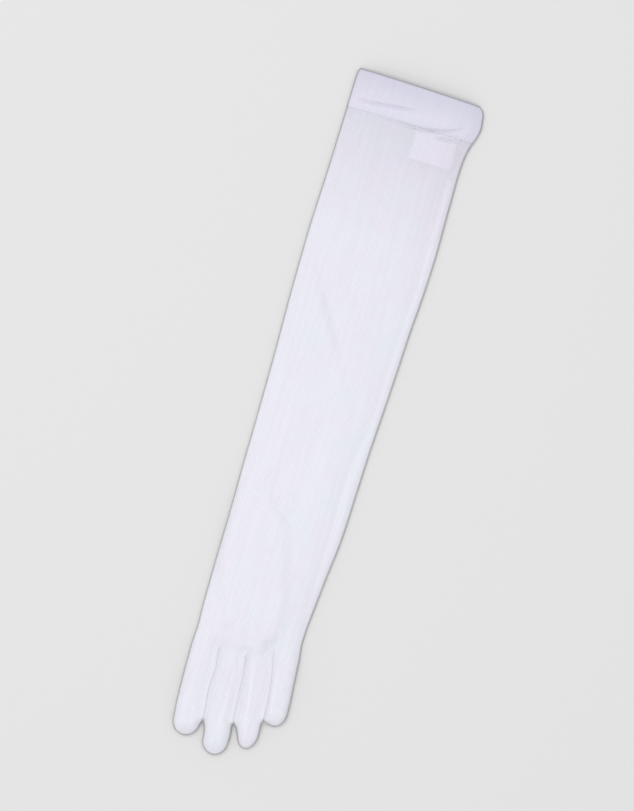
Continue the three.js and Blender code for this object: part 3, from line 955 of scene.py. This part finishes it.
# What lies inside the back layer: its thickness, and how far it lies below the back's outer side
SIDE_ALLOWANCE = (0.5, 0.8)
FINGER_ALLOWANCE = (0.4, 0.5)
LABEL_TAPE = (0.3, 0.9)
SIDE_ACROSS, SIDE_STEP = 5, 3.0  # points across the side seam's allowance, and its rows' spacing
FINGER_ALLOWANCE_HALF = 1.2  # half the width of a finger's allowance
LABEL_POINTS = (50, 37)  # across and along
LABEL_GAP = 0.4  # between the label's end and the hem's edge
LABEL_EDGE_SHADE = (0.6, 1.6)  # the painted shade along the cut edges fades out between these


def side_seam(edge, material):
    """The seam allowance along the little-finger side, which shows through the back."""
    y = np.arange(SIDE_SEAM[0][0], SIDE_SEAM[-1][0] + 0.1, SIDE_STEP)
    across = np.linspace(0, 1, SIDE_ACROSS)
    rows = []
    for inner, outer, place in zip(*along(SIDE_SEAM, y), y):
        rows.append([(inner + (outer - inner) * t, place) for t in across])
    return inner_strip("side_seam_allowance", rows, *SIDE_ALLOWANCE, edge, material)


def finger_seams(edge, material):
    """The seam allowances inside three fingers, which show as paler lines."""
    strips = []
    across = (-FINGER_ALLOWANCE_HALF, 0.0, FINGER_ALLOWANCE_HALF)
    for line in FINGER_SEAMS:
        middle = evenly(line, LINE_STEP)
        run = np.gradient(middle, axis=0)
        side = np.stack([-run[:, 1], run[:, 0]], -1) / np.linalg.norm(run, axis=1)[:, None]
        rows = [[tuple(m + n * t) for t in across] for m, n in zip(middle, side)]
        strips.append(inner_strip("seam", rows, *FINGER_ALLOWANCE, edge, material))
    return join(strips, "finger_seam_allowances")


def join(pieces, name):
    """Several pieces as one."""
    work = bmesh.new()
    for piece in pieces:
        work.from_mesh(piece.data)
    mesh = pieces[0].data
    work.to_mesh(mesh)
    work.free()
    for piece in pieces[1:]:
        bpy.data.objects.remove(piece)
    pieces[0].name = name
    mesh.name = name
    return pieces[0]


def care_label(edge, material):
    """The bare label that hangs from the hem, and a painted shade value along its cut edges."""
    left, right, low, high = LABEL
    across, down = LABEL_POINTS
    rows = [[(x, y) for x in np.linspace(left, right, across)]
            for y in np.linspace(low, high - LABEL_GAP, down)]
    label = inner_strip("bare_care_label", rows, *LABEL_TAPE, edge, material)
    x, y, _ = np.array([tuple(v.co / MM) for v in label.data.vertices]).T
    border = np.minimum(np.minimum(x - left, right - x), y - low)
    # Painted shade along the label's left, right and lower edges
    mark(label, "painted_edge_shade", 1 - smoothstep(border, *LABEL_EDGE_SHADE))
    return label


# The hem's two rows of stitches: their y, and the stitches' pitch, radius and length
HEM_STITCHES = (248.6, 250.8)
STITCH_SIZES = {"Pitch": 2.6, "Radius": 0.17, "Length": 1.9}
STITCH_LIFT = 0.1  # the thread's middle lies this far outside the hem
STITCH_LOW = 0.15  # and no lower than this
STITCH_LINE_POINTS = 110  # across each layer of the hem


def stitch_tree(material):
    """A row of stitches along a line. Inputs: the pitch, and the thread's radius and length."""
    tree = bpy.data.node_groups.new("stitch_row", "GeometryNodeTree")
    for name, kind in (("Line", "NodeSocketGeometry"), ("Pitch", "NodeSocketFloat"),
                       ("Radius", "NodeSocketFloat"), ("Length", "NodeSocketFloat")):
        tree.interface.new_socket(name=name, in_out="INPUT", socket_type=kind)
    tree.interface.new_socket(name="Stitches", in_out="OUTPUT", socket_type="NodeSocketGeometry")
    given = add_node(tree, "NodeGroupInput").outputs
    curve = add_node(tree, "GeometryNodeMeshToCurve", links={0: given["Line"]})
    spaced = add_node(tree, "GeometryNodeResampleCurve", {"mode": "LENGTH"},
                      {"Curve": curve.outputs[0], "Length": given["Pitch"]})
    tangent = add_node(tree, "GeometryNodeInputTangent")
    turn = add_node(tree, "FunctionNodeAlignRotationToVector", {"axis": "Z"},
                    {"Vector": tangent.outputs[0]})
    stitch = add_node(tree, "GeometryNodeMeshUVSphere", {"Segments": 6, "Rings": 5},
                      {"Radius": given["Radius"]})
    ratio = add_node(tree, "ShaderNodeMath", {"operation": "DIVIDE"},
                     {0: given["Length"], 1: given["Radius"]})
    half = add_node(tree, "ShaderNodeMath", {"operation": "MULTIPLY", 1: 0.5}, {0: ratio.outputs[0]})
    size = add_node(tree, "ShaderNodeCombineXYZ", {"X": 1.0, "Y": 1.0}, {"Z": half.outputs[0]})
    placed = add_node(tree, "GeometryNodeInstanceOnPoints", links={
        "Points": spaced.outputs[0],
        "Instance": stitch.outputs["Mesh"],
        "Rotation": turn.outputs[0],
        "Scale": size.outputs[0],
    })
    real = add_node(tree, "GeometryNodeRealizeInstances", links={0: placed.outputs[0]})
    done = add_node(tree, "GeometryNodeSetMaterial", {"Material": material},
                    {"Geometry": real.outputs[0]})
    add_node(tree, "NodeGroupOutput", links={0: done.outputs[0]})
    return tree


def stitch_rows(name, lines, tree):
    """Stitches along polylines in millimetres, as one plain mesh with nothing below the floor."""
    points = np.concatenate(lines)
    edges, start = [], 0
    for line in lines:
        edges += [(start + i, start + i + 1) for i in range(len(line) - 1)]
        start += len(line)
    mesh = bpy.data.meshes.new(name)
    mesh.from_pydata((points * MM).tolist(), edges, [])
    piece = bpy.data.objects.new(name, mesh)
    bpy.context.scene.collection.objects.link(piece)
    sewing = piece.modifiers.new("sewing", "NODES")
    sewing.node_group = tree
    for socket in tree.interface.items_tree:
        if socket.name in STITCH_SIZES and socket.in_out == "INPUT":
            sewing[socket.identifier] = STITCH_SIZES[socket.name] * MM
    piece.update_tag()
    shown = piece.evaluated_get(bpy.context.evaluated_depsgraph_get())
    made = bpy.data.meshes.new_from_object(shown)
    piece.modifiers.clear()
    piece.data = made
    bpy.data.meshes.remove(mesh)
    made.shade_smooth()
    for point in made.vertices:
        point.co.z = max(point.co.z, 0)
    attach(piece, "root")
    return piece


def hem_stitches(material):
    """Two rows of stitches round the hem."""
    lines = []
    for y in HEM_STITCHES:
        ring, _ = sleeve_ring(y, -STITCH_LIFT, STITCH_LINE_POINTS)
        ring[:, 2] = np.maximum(ring[:, 2], STITCH_LOW)
        lines.append(np.concatenate([ring, ring[:1]]))
    return stitch_rows("hem_stitches", lines, stitch_tree(material))


def main():
    make_camera()
    make_stage()
    edge = evenly(outline(TOP), OUTLINE_STEP)
    # Each tulle's two colours are the ends of the painted shade along the glove; the doubled hem's are
    # greyer still, painted shade that deepens towards the rim
    single = tulle("stretch_tulle_polyamide", "#f4f4fb", "#e5e3ed", hole=0.51, thread=0.62)
    double = tulle("stretch_tulle_doubled", "#dcdae7", "#cdccdb", hole=0.82, thread=0.9,
                   falloff=HEM_LIGHT_FALLOFF)
    allowance = tulle("stretch_tulle_seam_allowance", "#fcfcff", "#ededf8", hole=0.85, thread=0.95)
    thread = sewing_thread()

    body = glove_body(single)
    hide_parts("sleeve_and_hand")
    hem = top_hem(double)
    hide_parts("top_hem")
    thumb = pressed_thumb(single)
    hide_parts("thumb")
    seam = side_seam(edge, allowance)
    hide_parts("side_seam")
    ribs = finger_seams(edge, allowance)
    label = care_label(edge, woven_tape())
    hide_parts("care_label")

    stitches = hem_stitches(thread)


main()
